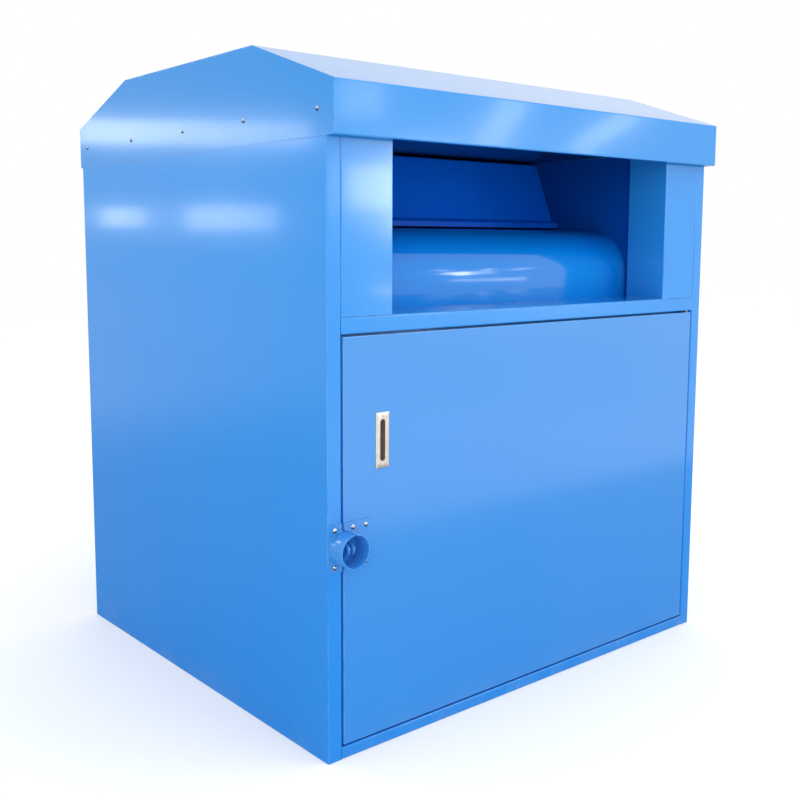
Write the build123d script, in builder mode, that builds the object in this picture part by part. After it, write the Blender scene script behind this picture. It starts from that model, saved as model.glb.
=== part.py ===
from build123d import *
import os

# Sheet-metal deposit box: a folded cabinet under an overhanging roof cap.  The
# deposit mouth has a bull-nosed sill and a lift flap that drops shut by its own
# weight, and a wide door below it gives access to what has been dropped in.
# Millimetres.  +X is to the right when facing the front, +Y to the rear, +Z up.
# The origin is the centre of the floor-anchor pattern, on the ground.

os.makedirs("parts", exist_ok=True)

# ---------------------------------------------------------------- sheet metal
sheet = 2.0
bend = 4.0

# ------------------------------------------------------------- overall sizes
body_width = 1504.0
body_depth = 1318.0
panel_top_z = 1600.0
left_x = -body_width / 2
front_y = -body_depth / 2
rear_y = body_depth / 2

# ----------------------------------------------------------------------- roof
fascia_bottom_z = 1501.0
fascia_height = 123.0
roof_rise = 117.0
slope_run = 333.0
front_overhang = 35.0
rear_overhang = 7.0
fascia_hem = 14.0
rib_inset = 25.0
eave_z = fascia_bottom_z + fascia_height
roof_top_z = eave_z + roof_rise
roof_front_y = front_y - front_overhang
roof_rear_y = rear_y + rear_overhang

# ----------------------------------------------------- jambs, rails and floor
jamb_width = 42.0
stop_depth = 34.0
stop_lip = 18.0
rear_flange = 30.0
rail_height = 30.0
rail_lip = 15.0
header_bottom_z = 1045.5
header_top_z = 1087.0
shelf_depth = 170.0
pan_height = 40.0
jamb_x = body_width / 2 - jamb_width
lip_x = jamb_x - stop_lip

# ------------------------------------------------------------- deposit mouth
mouth_half_width = 551.0
chute_half_width = 563.0
return_depth = 139.0
ceiling_z = 1534.0
ceiling_flange = 26.0
ceiling_depth = 600.0
sill_depth = 155.0
sill_radius = 135.0
sill_top_z = 1300.0
sill_end_depth = 455.0
ramp_depth = 850.0
ramp_end_z = 1023.0

# ----------------------------------------------------------------- lift flap
flap_gap = 4.0
flap_top_depth = 541.6
flap_pivot_z = 1518.3
flap_foot_depth = 461.5
flap_foot_z = 1335.6
lip_reach = 25.5
lip_fall = 9.6
lip_turn_down = 16.0
rod_radius = 6.0
running_clearance = 0.05
bush_wall = 3.0
flap_half_width = chute_half_width - flap_gap

# ----------------------------------------------------------------------- door
door_gap = 5.5
door_thickness = 25.0
door_lip = 20.0
pivot_inset = 12.0
pivot_depth = 10.0
pin_radius = 5.0
pin_reach = 13.0
door_half_width = jamb_x - door_gap
door_bottom_z = rail_height + door_gap
door_top_z = header_bottom_z - door_gap
pivot_x = door_half_width - pivot_inset
pivot_y = front_y + pivot_depth

# --------------------------------------------------------------- pull handle
handle_x = left_x + 168.0
handle_z = 781.0
handle_width = 42.0
handle_height = 138.0
slot_width = 16.0
slot_length = 103.0
pocket_depth = 14.0
pocket_wall = 1.2

# ----------------------------------------------------------- padlock guard
guard_z = 535.0
guard_outer = 42.5
guard_wall = 3.0
guard_length = 52.0
guard_plate = 2.0
guard_plate_height = 118.0
guard_corner = 2.0
guard_margin = 2.5
lug_thickness = 5.0
lug_radius = 16.0
lug_hole = 6.0
lug_reach = 20.0
lug_setback = 2.5
guard_x = left_x + jamb_width + door_gap / 2

# ------------------------------------------------------------------- rivets
rivet_head = 6.0
rivet_height = 4.0
rivet_shank = 2.4
rivet_hole = 2.5

exports = {}


def folded(points, side, radius=bend, thickness=sheet):
    """Draw the section of a folded sheet whose outer face follows points."""
    with BuildLine() as line:
        FilletPolyline(*points, radius=radius)
        offset(amount=thickness, side=side)
    make_face(line.edges())


def hat(across, up, half_web=30.0, height=20.0, flange=15.0):
    """Return the base line of a hat section lying along the first axis."""
    return [
        (across - half_web - flange, up),
        (across - half_web, up),
        (across - half_web, up + height),
        (across + half_web, up + height),
        (across + half_web, up),
        (across + half_web + flange, up),
    ]


def make_rivet(grip):
    """Return a dome-head rivet whose head stands on the XY plane."""
    with BuildPart() as rivet:
        with BuildSketch(Plane.XZ):
            with BuildLine():
                Line((0, rivet_height), (0, 0))
                Line((0, 0), (rivet_head, 0))
                RadiusArc((rivet_head, 0), (0, rivet_height), -(
                    (rivet_head**2 + rivet_height**2) / (2 * rivet_height)))
            make_face()
        revolve(axis=Axis.Z)
        with Locations((0, 0, -grip / 2)):
            Cylinder(rivet_shank, grip)
    return rivet.part


# ---------------------------------------------------------------- side panels
roof_rivet_spots = [(front_y + 30.0 + 310.5 * i, 1563.0) for i in range(5)]
guard_rivet_rise = 45.5
jamb_rivet_x = left_x + 20.5

with BuildPart() as side_panel_left:
    with BuildSketch():
        folded([
            (-lip_x, front_y + stop_depth),
            (-jamb_x, front_y + stop_depth),
            (-jamb_x, front_y),
            (left_x, front_y),
            (left_x, rear_y),
            (left_x + rear_flange, rear_y),
        ], Side.RIGHT)
    extrude(amount=panel_top_z)
    # Above the door the stop lip is cropped so that the header can pass.
    with Locations((-jamb_x, front_y + stop_depth, header_bottom_z)):
        Box(60, 16, 700, align=(Align.MIN, Align.CENTER, Align.MIN), mode=Mode.SUBTRACT)
    # The jamb ends under the ceiling pan; only the outer sheet runs on up.
    with Locations((left_x + bend, front_y - 5, ceiling_z)):
        Box(100, 60, 200, align=Align.MIN, mode=Mode.SUBTRACT)
    with Locations((left_x - 1, front_y - 5, ceiling_z)):
        Box(100, bend + 5, 200, align=Align.MIN, mode=Mode.SUBTRACT)
    with Locations(*[(left_x, y, z) for y, z in roof_rivet_spots]):
        Cylinder(rivet_hole, 20, rotation=(0, 90, 0), mode=Mode.SUBTRACT)

with BuildPart() as side_panel_right:
    mirror(side_panel_left.part, about=Plane.YZ)

# Only the left jamb carries half of the padlock guard.
with side_panel_left:
    with Locations(*[(jamb_rivet_x, front_y, guard_z + s * guard_rivet_rise) for s in (-1, 1)]):
        Cylinder(rivet_hole, 20, rotation=(90, 0, 0), mode=Mode.SUBTRACT)
exports["side_panel_left"] = side_panel_left
exports["side_panel_right"] = side_panel_right

# ----------------------------------------------------------------- back panel
back_face = rear_y - sheet
back_rivet_x = body_width / 2 - 16.0
back_rivet_z = [90.0 + 270.0 * i for i in range(6)]

with BuildPart() as back_panel:
    with Locations((0, back_face, sheet)):
        Box(body_width - 2 * bend - 2, sheet, fascia_bottom_z - sheet - 1,
            align=(Align.CENTER, Align.MAX, Align.MIN))
exports["back_panel"] = back_panel

with BuildPart() as back_rivets:
    rear_rivet = make_rivet(2 * sheet)
    for s in (-1, 1):
        for z in back_rivet_z:
            with Locations(Plane((s * back_rivet_x, rear_y, z), x_dir=(1, 0, 0), z_dir=(0, 1, 0))):
                add(rear_rivet)
exports["back_rivets"] = back_rivets

with BuildPart() as back_drill:
    for s in (-1, 1):
        for z in back_rivet_z:
            with Locations((s * back_rivet_x, rear_y, z)):
                Cylinder(rivet_hole, 20, rotation=(90, 0, 0))
for piece in (side_panel_left, side_panel_right, back_panel):
    with piece:
        add(back_drill.part, mode=Mode.SUBTRACT)

for name, height in (("back_stiffener_lower", 500.0), ("back_stiffener_upper", 1000.0)):
    with BuildPart() as back_stiffener:
        with BuildSketch(Plane.YZ.offset(-700)):
            folded([(back_face - sheet - v, u) for u, v in hat(height, 0)], Side.LEFT)
        extrude(amount=1400)
    exports[name] = back_stiffener

# ---------------------------------------------------------------- floor panel
anchor_spacing_x = 1200.0
anchor_spacing_y = 1000.0
anchor_radius = 7.0
floor_front_y = front_y + stop_depth + sheet
floor_rear_y = back_face - sheet

with BuildPart() as floor_panel:
    with Locations((0, floor_front_y, 0)):
        Box(body_width - 2 * sheet, floor_rear_y - floor_front_y, pan_height,
            align=(Align.CENTER, Align.MIN, Align.MIN))
    fillet(floor_panel.edges().filter_by(Axis.Z), bend)
    with Locations((0, floor_front_y + sheet, sheet)):
        Box(body_width - 4 * sheet, floor_rear_y - floor_front_y - 2 * sheet, pan_height,
            align=(Align.CENTER, Align.MIN, Align.MIN), mode=Mode.SUBTRACT)
    with GridLocations(anchor_spacing_x, anchor_spacing_y, 2, 2):
        Cylinder(anchor_radius, 20, mode=Mode.SUBTRACT)
exports["floor_panel"] = floor_panel

# ------------------------------------------------------- bottom rail and header
with BuildPart() as bottom_rail:
    with BuildSketch(Plane.YZ.offset(-jamb_x)):
        folded([
            (front_y + stop_depth - 4, 0),
            (front_y, 0),
            (front_y, rail_height),
            (front_y + stop_depth, rail_height),
            (front_y + stop_depth, rail_height + rail_lip),
        ], Side.RIGHT)
    extrude(amount=2 * jamb_x)
    # The corners are cropped around the jamb stop lips.
    for s in (-1, 1):
        with Locations((s * (jamb_x + lip_x) / 2, front_y + stop_depth, 0)):
            Box(stop_lip, 2 * bend, 200, mode=Mode.SUBTRACT)
    with Locations((pivot_x, pivot_y, rail_height)):
        Cylinder(pin_radius, 12, mode=Mode.SUBTRACT)
exports["bottom_rail"] = bottom_rail

with BuildPart() as header_rail:
    with BuildSketch(Plane.YZ.offset(-jamb_x)):
        folded([
            (front_y + stop_depth, header_bottom_z - rail_lip - 3.5),
            (front_y + stop_depth, header_bottom_z),
            (front_y, header_bottom_z),
            (front_y, header_top_z),
            (front_y + shelf_depth, header_top_z),
        ], Side.RIGHT)
    extrude(amount=2 * jamb_x)
    for s in (-1, 1):
        with Locations((s * (jamb_x + lip_x) / 2, front_y + stop_depth, header_bottom_z)):
            Box(stop_lip, 2 * bend, 60, mode=Mode.SUBTRACT)
    with Locations((pivot_x, pivot_y, header_bottom_z)):
        Cylinder(pin_radius, 12, mode=Mode.SUBTRACT)
exports["header_rail"] = header_rail

# -------------------------------------------------------------- filler panels
with BuildPart() as filler_panel_left:
    with BuildSketch(Plane.XY.offset(header_top_z)):
        folded([
            (-jamb_x, front_y + stop_depth - 12),
            (-jamb_x, front_y),
            (-mouth_half_width, front_y),
            (-mouth_half_width, front_y + return_depth),
            (-chute_half_width - 2 * sheet, front_y + return_depth),
        ], Side.LEFT)
    extrude(amount=ceiling_z - header_top_z)
exports["filler_panel_left"] = filler_panel_left

with BuildPart() as filler_panel_right:
    mirror(filler_panel_left.part, about=Plane.YZ)
exports["filler_panel_right"] = filler_panel_right

# ----------------------------------------------------------- chute side plates
bush_outer = rod_radius + running_clearance + bush_wall
flap_pivot_y = front_y + flap_top_depth

with BuildPart() as chute_side_right:
    with BuildSketch(Plane.YZ.offset(chute_half_width)):
        with BuildLine():
            Polyline(
                (front_y + return_depth, header_top_z),
                (front_y + ceiling_depth, header_top_z),
                (front_y + ramp_depth, ramp_end_z - 20),
                (front_y + ramp_depth, ramp_end_z + 90),
                (front_y + ceiling_depth, ceiling_z),
                (front_y + return_depth, ceiling_z),
                close=True,
            )
        make_face()
        with Locations((flap_pivot_y, flap_pivot_z)):
            Circle(bush_outer, mode=Mode.SUBTRACT)
    extrude(amount=sheet)
exports["chute_side_right"] = chute_side_right

with BuildPart() as chute_side_left:
    mirror(chute_side_right.part, about=Plane.YZ)
exports["chute_side_left"] = chute_side_left

# ------------------------------------------------------------- sill and ramp
with BuildPart() as chute_sill:
    with BuildSketch(Plane.YZ.offset(-chute_half_width)):
        with BuildLine():
            foot = Line(
                (front_y + sill_depth, header_top_z),
                (front_y + sill_depth, sill_top_z - sill_radius),
            )
            nose = RadiusArc(
                foot @ 1,
                (front_y + sill_depth + sill_radius, sill_top_z),
                sill_radius,
            )
            Line(nose @ 1, (front_y + sill_end_depth, sill_top_z))
            offset(amount=sheet, side=Side.RIGHT)
        make_face()
    extrude(amount=2 * chute_half_width)
exports["chute_sill"] = chute_sill

with BuildPart() as chute_ramp:
    with BuildSketch(Plane.YZ.offset(-chute_half_width)):
        folded([
            (front_y + sill_end_depth - 60, sill_top_z - sheet),
            (front_y + sill_end_depth, sill_top_z - sheet),
            (front_y + ramp_depth, ramp_end_z),
            (front_y + ramp_depth, ramp_end_z - 18),
        ], Side.RIGHT, radius=6.0)
    extrude(amount=2 * chute_half_width)
exports["chute_ramp"] = chute_ramp

# -------------------------------------------------------------- ceiling pan
with BuildPart() as chute_ceiling:
    with BuildSketch(Plane.YZ.offset(left_x + sheet)):
        folded([
            (roof_front_y + sheet, ceiling_z + ceiling_flange),
            (roof_front_y + sheet, ceiling_z),
            (front_y + ceiling_depth, ceiling_z),
            (front_y + ceiling_depth, ceiling_z + ceiling_flange),
        ], Side.LEFT)
    extrude(amount=body_width - 2 * sheet)
exports["chute_ceiling"] = chute_ceiling

# ------------------------------------------------------------------- lift flap
curl_radius = rod_radius + sheet


def flap_face_line():
    """Return the front face of the flap: its top tangent point and its foot."""
    foot = Vector(front_y + flap_foot_depth, flap_foot_z)
    pivot = Vector(flap_pivot_y, flap_pivot_z)
    span = pivot - foot
    turn = span.length
    # The face is tangent to the curl, so it leans by a little more than span.
    tangent_length = (turn**2 - curl_radius**2) ** 0.5
    swing = Vector(span.X, span.Y).normalized()
    side = Vector(-swing.Y, swing.X)
    cos_a = tangent_length / turn
    sin_a = curl_radius / turn
    top = foot + (swing * cos_a + side * sin_a) * tangent_length
    return top, foot


flap_top, flap_foot = flap_face_line()
flap_run = (flap_top - flap_foot).normalized()
flap_back = Vector(flap_run.Y, -flap_run.X)

with BuildPart() as flap_panel:
    with BuildSketch(Plane.YZ.offset(-flap_half_width)):
        folded([
            (flap_top.X, flap_top.Y),
            (flap_foot.X, flap_foot.Y),
            (flap_foot.X - lip_reach, flap_foot.Y - lip_fall),
            (flap_foot.X - lip_reach, flap_foot.Y - lip_fall - lip_turn_down),
        ], Side.LEFT, radius=3.0)
        with Locations((flap_pivot_y, flap_pivot_z)):
            Circle(curl_radius)
            Circle(rod_radius, mode=Mode.SUBTRACT)
    extrude(amount=2 * flap_half_width)
exports["flap_panel"] = flap_panel

clip_x = chute_half_width + 8.0
with BuildPart() as flap_rod:
    with Locations((0, flap_pivot_y, flap_pivot_z)):
        Cylinder(rod_radius, 2 * clip_x + 6, rotation=(0, 90, 0))
    chamfer(flap_rod.edges(), 1.0)
exports["flap_rod"] = flap_rod

with BuildPart() as flap_rod_clips:
    for s in (-1, 1):
        with Locations((s * clip_x, flap_pivot_y, flap_pivot_z)):
            Cylinder(rod_radius + 4, 1.2, rotation=(0, 90, 0))
            Cylinder(rod_radius, 1.2, rotation=(0, 90, 0), mode=Mode.SUBTRACT)
exports["flap_rod_clips"] = flap_rod_clips

# The ribs stand square to the back of the flap and stop short of curl and fold.
rib_depth = 18.0
rib_start = flap_foot + flap_run * 14 + flap_back * sheet
rib_end = flap_top - flap_run * 14 + flap_back * sheet
with BuildPart() as flap_ribs:
    for x in (-360.0, 0.0, 360.0):
        with BuildSketch(Plane.YZ.offset(x - 1.5)):
            with BuildLine():
                Polyline(
                    (rib_start.X, rib_start.Y),
                    ((rib_start + flap_back * rib_depth).X, (rib_start + flap_back * rib_depth).Y),
                    ((rib_end + flap_back * rib_depth).X, (rib_end + flap_back * rib_depth).Y),
                    (rib_end.X, rib_end.Y),
                    close=True,
                )
            make_face()
        extrude(amount=3.0)
exports["flap_ribs"] = flap_ribs

with BuildPart() as flap_bushes:
    for s in (-1, 1):
        with Locations((s * (chute_half_width + 2.5), flap_pivot_y, flap_pivot_z)):
            Cylinder(bush_outer, 9.0, rotation=(0, 90, 0))
        with Locations((s * (chute_half_width + sheet + 1.5), flap_pivot_y, flap_pivot_z)):
            Cylinder(bush_outer + 3, 3.0, rotation=(0, 90, 0))
    with Locations((0, flap_pivot_y, flap_pivot_z)):
        Cylinder(rod_radius + running_clearance, body_width, rotation=(0, 90, 0), mode=Mode.SUBTRACT)
exports["flap_bushes"] = flap_bushes

# Rubber rests on the chute sides hold the closed flap off the sill.
rest_low = flap_foot + flap_run * 30 + flap_back * (sheet + 0.3)
rest_high = rest_low + flap_run * 30
with BuildPart() as flap_rests:
    for s in (-1, 1):
        with BuildSketch(Plane.YZ.offset(s * chute_half_width)):
            with BuildLine():
                Polyline(
                    (rest_low.X, rest_low.Y),
                    ((rest_low + flap_back * 20).X, (rest_low + flap_back * 20).Y),
                    ((rest_high + flap_back * 20).X, (rest_high + flap_back * 20).Y),
                    (rest_high.X, rest_high.Y),
                    close=True,
                )
            make_face()
        extrude(amount=-s * 18.0)
exports["flap_rests"] = flap_rests

# ------------------------------------------------------------------------ roof
roof_line = [
    (roof_front_y, fascia_bottom_z),
    (roof_front_y, eave_z),
    (roof_front_y + slope_run, roof_top_z),
    (roof_rear_y - slope_run, roof_top_z),
    (roof_rear_y, eave_z),
    (roof_rear_y, fascia_bottom_z),
]
hem_end = (roof_front_y + fascia_hem, fascia_bottom_z)
roof_half_width = body_width / 2 + sheet

with BuildPart() as roof_skin:
    with BuildSketch(Plane.YZ.offset(-roof_half_width)):
        folded([hem_end] + roof_line, Side.RIGHT)
    extrude(amount=2 * roof_half_width)
exports["roof_skin"] = roof_skin

with BuildPart() as roof_gable_left:
    with BuildSketch(Plane.YZ.offset(-roof_half_width)):
        with BuildLine():
            outline = FilletPolyline(hem_end, *roof_line, radius=bend)
            Line(outline @ 1, outline @ 0)
        make_face()
    extrude(amount=sheet)
    add(roof_skin.part, mode=Mode.SUBTRACT)
    with Locations(*[(left_x, y, z) for y, z in roof_rivet_spots]):
        Cylinder(rivet_hole, 20, rotation=(0, 90, 0), mode=Mode.SUBTRACT)
exports["roof_gable_left"] = roof_gable_left

with BuildPart() as roof_gable_right:
    mirror(roof_gable_left.part, about=Plane.YZ)
exports["roof_gable_right"] = roof_gable_right

roof_rivet = make_rivet(2 * sheet + 2)
for name, s in (("roof_rivets_left", -1), ("roof_rivets_right", 1)):
    with BuildPart() as roof_rivets:
        for y, z in roof_rivet_spots:
            with Locations(Plane((s * roof_half_width, y, z), x_dir=(0, 1, 0), z_dir=(s, 0, 0))):
                add(roof_rivet)
    exports[name] = roof_rivets

for name, x in (("roof_rib_left", -250.0), ("roof_rib_right", 250.0)):
    with BuildPart() as roof_rib:
        with BuildSketch(Plane.XZ.offset(-(roof_front_y + slope_run + rib_inset))):
            folded([(u, roof_top_z - sheet - v) for u, v in hat(x, 0)], Side.RIGHT)
        extrude(amount=-(roof_rear_y - roof_front_y - 2 * slope_run - 2 * rib_inset))
    exports[name] = roof_rib

# ------------------------------------------------------------ side stiffeners
with BuildPart() as side_stiffener_left:
    with BuildSketch(Plane.XY.offset(pan_height)):
        folded([(left_x + sheet + v, u) for u, v in hat(0, 0)], Side.RIGHT)
    extrude(amount=1480 - pan_height)
exports["side_stiffener_left"] = side_stiffener_left

with BuildPart() as side_stiffener_right:
    mirror(side_stiffener_left.part, about=Plane.YZ)
exports["side_stiffener_right"] = side_stiffener_right

# ------------------------------------------------------------------ door panel
door_rivet_x = (left_x + 75.0, left_x + 115.0)
door_height = door_top_z - door_bottom_z
door_mid_z = (door_top_z + door_bottom_z) / 2
guard_door_rivets = [(x, guard_z + s * guard_rivet_rise) for x in door_rivet_x for s in (-1, 1)]

with BuildPart() as door_panel:
    with Locations((0, front_y, door_mid_z)):
        Box(2 * door_half_width, door_thickness, door_height,
            align=(Align.CENTER, Align.MIN, Align.CENTER))
    fillet(door_panel.edges().filter_by(Axis.Z).group_by(Axis.Y)[0], sheet)
    fillet(door_panel.faces().sort_by(Axis.Y)[0].edges().filter_by(Axis.X), sheet - 0.2)
    with Locations((0, front_y + sheet, door_mid_z)):
        Box(2 * (door_half_width - sheet), door_thickness - 2 * sheet, door_height - 2 * sheet,
            align=(Align.CENTER, Align.MIN, Align.CENTER), mode=Mode.SUBTRACT)
    with Locations((0, front_y + 2 * sheet, door_mid_z)):
        Box(2 * (door_half_width - door_lip), door_thickness, door_height - 2 * door_lip,
            align=(Align.CENTER, Align.MIN, Align.CENTER), mode=Mode.SUBTRACT)
    for z in (door_bottom_z, door_top_z):
        with Locations((pivot_x, pivot_y, z)):
            Cylinder(pin_radius + running_clearance + 2.4, 2 * sheet, mode=Mode.SUBTRACT)
    with Locations(*[(x, front_y, z) for x, z in guard_door_rivets]):
        Cylinder(rivet_hole, 20, rotation=(90, 0, 0), mode=Mode.SUBTRACT)
    with BuildSketch(Plane.XZ.offset(-front_y)):
        with Locations((handle_x, handle_z)):
            SlotOverall(slot_length + 2 * pocket_wall, slot_width + 2 * pocket_wall, rotation=90)
    extrude(amount=-sheet, mode=Mode.SUBTRACT)
exports["door_panel"] = door_panel

for name, height in (
    ("door_stiffener_lower", 240.0),
    ("door_stiffener_middle", 640.0),
    ("door_stiffener_upper", 940.0),
):
    with BuildPart() as door_stiffener:
        with BuildSketch(Plane.YZ.offset(-door_half_width + door_lip + 4)):
            folded([(front_y + sheet + v, u) for u, v in hat(height, 0)], Side.RIGHT)
        extrude(amount=2 * (door_half_width - door_lip - 4))
    exports[name] = door_stiffener

# ----------------------------------------------------- door pins and bushes
with BuildPart() as door_pivot_pins:
    with Locations((pivot_x, pivot_y, door_bottom_z + pin_reach)):
        Cylinder(pin_radius, door_gap + pin_reach + 6, align=(Align.CENTER, Align.CENTER, Align.MAX))
    with Locations((pivot_x, pivot_y, rail_height - sheet)):
        Cylinder(6.0, 4.0, align=(Align.CENTER, Align.CENTER, Align.MAX))
    with Locations((pivot_x, pivot_y, door_top_z - pin_reach)):
        Cylinder(pin_radius, door_gap + pin_reach + 6, align=(Align.CENTER, Align.CENTER, Align.MIN))
    with Locations((pivot_x, pivot_y, header_bottom_z + sheet)):
        Cylinder(6.0, 4.0, align=(Align.CENTER, Align.CENTER, Align.MIN))
exports["door_pivot_pins"] = door_pivot_pins

with BuildPart() as door_thrust_washer:
    with Locations((pivot_x, pivot_y, rail_height)):
        Cylinder(6.0 + 0.9, door_gap - 0.3, align=(Align.CENTER, Align.CENTER, Align.MIN))
        Cylinder(pin_radius, door_gap, align=(Align.CENTER, Align.CENTER, Align.MIN),
                 mode=Mode.SUBTRACT)
exports["door_thrust_washer"] = door_thrust_washer

with BuildPart() as door_pivot_bushes:
    for z, place in ((door_bottom_z, Align.MIN), (door_top_z, Align.MAX)):
        with Locations((pivot_x, pivot_y, z)):
            Cylinder(pin_radius + running_clearance + 2.4, pin_reach + 2,
                     align=(Align.CENTER, Align.CENTER, place))
            Cylinder(pin_radius + running_clearance, pin_reach + 2,
                     align=(Align.CENTER, Align.CENTER, place), mode=Mode.SUBTRACT)
exports["door_pivot_bushes"] = door_pivot_bushes

with BuildPart() as door_bumpers:
    for z in (200.0, 860.0):
        with Locations((-jamb_x + stop_lip / 2 + 2, front_y + stop_depth, z)):
            Cylinder(6.0, stop_depth - door_thickness - 0.3, rotation=(90, 0, 0),
                     align=(Align.CENTER, Align.CENTER, Align.MIN))
exports["door_bumpers"] = door_bumpers

# ----------------------------------------------------------------- pull handle
handle_plate = 2.5
screw_spacing = handle_height - 17.0
with BuildPart() as pull_handle:
    with BuildSketch(Plane.XZ.offset(-front_y)):
        with Locations((handle_x, handle_z)):
            RectangleRounded(handle_width, handle_height, 1.5)
    extrude(amount=handle_plate)
    chamfer(pull_handle.faces().sort_by(Axis.Y)[0].edges(), 1.2)
    with BuildSketch(Plane.XZ.offset(-front_y)):
        with Locations((handle_x, handle_z)):
            SlotOverall(slot_length + 2 * pocket_wall, slot_width + 2 * pocket_wall, rotation=90)
    extrude(amount=-pocket_depth)
    with BuildSketch(Plane.XZ.offset(-front_y + handle_plate)):
        with Locations((handle_x, handle_z)):
            SlotOverall(slot_length, slot_width, rotation=90)
    extrude(amount=-(pocket_depth + handle_plate - pocket_wall), mode=Mode.SUBTRACT)
    for s in (-1, 1):
        with Locations(Plane((handle_x, front_y - handle_plate, handle_z + s * screw_spacing / 2),
                             x_dir=(1, 0, 0), z_dir=(0, -1, 0))):
            CounterSinkHole(1.6, 3.4, depth=handle_plate)
exports["pull_handle"] = pull_handle

with BuildPart() as handle_screws:
    for s in (-1, 1):
        with Locations(Plane((handle_x, front_y - handle_plate, handle_z + s * screw_spacing / 2),
                             x_dir=(1, 0, 0), z_dir=(0, -1, 0))):
            Cylinder(1.5, handle_plate, align=(Align.CENTER, Align.CENTER, Align.MAX))
            Cone(1.5, 3.3, 1.8, align=(Align.CENTER, Align.CENTER, Align.MAX))
            Box(5.0, 0.8, 0.7, align=(Align.CENTER, Align.CENTER, Align.MAX), mode=Mode.SUBTRACT)
exports["handle_screws"] = handle_screws

# ---------------------------------------------------------------- padlock guard
guard_plane = Plane.XZ.offset(-front_y)
jamb_split_x = guard_x - door_gap / 2
door_split_x = guard_x + door_gap / 2
jamb_plate_x = left_x + guard_margin
door_plate_x = left_x + 130.0


def guard_half(plate_near, plate_far, split, keep_side, rivets):
    """Return one half of the split padlock guard on its riveted plate."""
    with BuildPart() as half:
        with BuildSketch(guard_plane):
            with Locations(((plate_near + plate_far) / 2, guard_z)):
                Rectangle(abs(plate_far - plate_near), guard_plate_height)
        extrude(amount=guard_plate)
        fillet(half.edges().filter_by(Axis.Y), guard_corner)
        with BuildSketch(guard_plane):
            with Locations((guard_x, guard_z)):
                Circle(guard_outer)
                Circle(guard_outer - guard_wall, mode=Mode.SUBTRACT)
            with Locations((split, guard_z)):
                Rectangle(3 * guard_outer, 3 * guard_outer, mode=Mode.SUBTRACT,
                          align=(Align.MIN if keep_side < 0 else Align.MAX, Align.CENTER))
        extrude(amount=guard_length)
        with Locations(*[(x, front_y, z) for x, z in rivets]):
            Cylinder(rivet_hole, 20, rotation=(90, 0, 0), mode=Mode.SUBTRACT)
    return half


jamb_rivet_spots = [(jamb_rivet_x, guard_z + s * guard_rivet_rise) for s in (-1, 1)]
exports["guard_half_jamb"] = guard_half(
    jamb_plate_x, jamb_split_x, jamb_split_x, -1, jamb_rivet_spots)
exports["guard_half_door"] = guard_half(
    door_split_x, door_plate_x, door_split_x, 1, guard_door_rivets)

for name, near_x in (
    ("padlock_lug_jamb", jamb_split_x - lug_setback - lug_thickness),
    ("padlock_lug_door", door_split_x + lug_setback),
):
    with BuildPart() as padlock_lug:
        with BuildSketch(Plane.YZ.offset(near_x)):
            with Locations((front_y - guard_plate, guard_z)):
                Rectangle(lug_reach - guard_plate, 2 * lug_radius, align=(Align.MAX, Align.CENTER))
            with Locations((front_y - lug_reach, guard_z)):
                Circle(lug_radius)
                Circle(lug_hole, mode=Mode.SUBTRACT)
        extrude(amount=lug_thickness)
    exports[name] = padlock_lug

guard_rivet = make_rivet(guard_plate + sheet + 2)
for name, spots in (("guard_rivets_jamb", jamb_rivet_spots), ("guard_rivets_door", guard_door_rivets)):
    with BuildPart() as guard_rivets:
        for x, z in spots:
            with Locations(Plane((x, front_y - guard_plate, z), x_dir=(1, 0, 0), z_dir=(0, -1, 0))):
                add(guard_rivet)
    exports[name] = guard_rivets

# ---------------------------------------------------------------------- export
for name, piece in exports.items():
    piece.part.label = name
    export_step(piece.part, f"parts/{name}.step")
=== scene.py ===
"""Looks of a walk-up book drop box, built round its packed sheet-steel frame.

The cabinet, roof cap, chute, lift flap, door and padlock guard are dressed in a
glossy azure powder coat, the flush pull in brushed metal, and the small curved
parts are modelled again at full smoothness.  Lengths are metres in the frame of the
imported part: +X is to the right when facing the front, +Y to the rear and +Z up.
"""

from __future__ import annotations

import logging
import math
from contextlib import contextmanager
from dataclasses import dataclass, field
from enum import Enum
from typing import Any, Callable, Iterator, Sequence

import bmesh
import bpy
from mathutils import Matrix, Vector


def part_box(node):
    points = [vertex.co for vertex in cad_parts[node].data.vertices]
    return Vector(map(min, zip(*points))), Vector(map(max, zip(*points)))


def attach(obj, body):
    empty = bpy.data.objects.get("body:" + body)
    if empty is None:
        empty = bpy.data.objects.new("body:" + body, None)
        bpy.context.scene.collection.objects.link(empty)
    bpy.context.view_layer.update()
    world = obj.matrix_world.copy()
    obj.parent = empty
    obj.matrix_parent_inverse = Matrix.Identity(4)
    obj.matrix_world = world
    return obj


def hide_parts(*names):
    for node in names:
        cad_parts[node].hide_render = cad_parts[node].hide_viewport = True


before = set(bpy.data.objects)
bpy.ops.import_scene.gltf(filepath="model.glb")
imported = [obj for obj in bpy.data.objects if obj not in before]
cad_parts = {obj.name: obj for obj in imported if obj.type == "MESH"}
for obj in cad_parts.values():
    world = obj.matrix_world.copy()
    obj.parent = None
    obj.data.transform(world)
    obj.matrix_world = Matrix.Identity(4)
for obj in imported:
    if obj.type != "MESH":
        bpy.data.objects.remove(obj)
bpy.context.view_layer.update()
LOG = logging.getLogger("drop_box")

Colour = tuple[float, float, float]
Point = tuple[float, float, float]


# ----------------------------------------
# Shader maths
# ----------------------------------------


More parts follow.
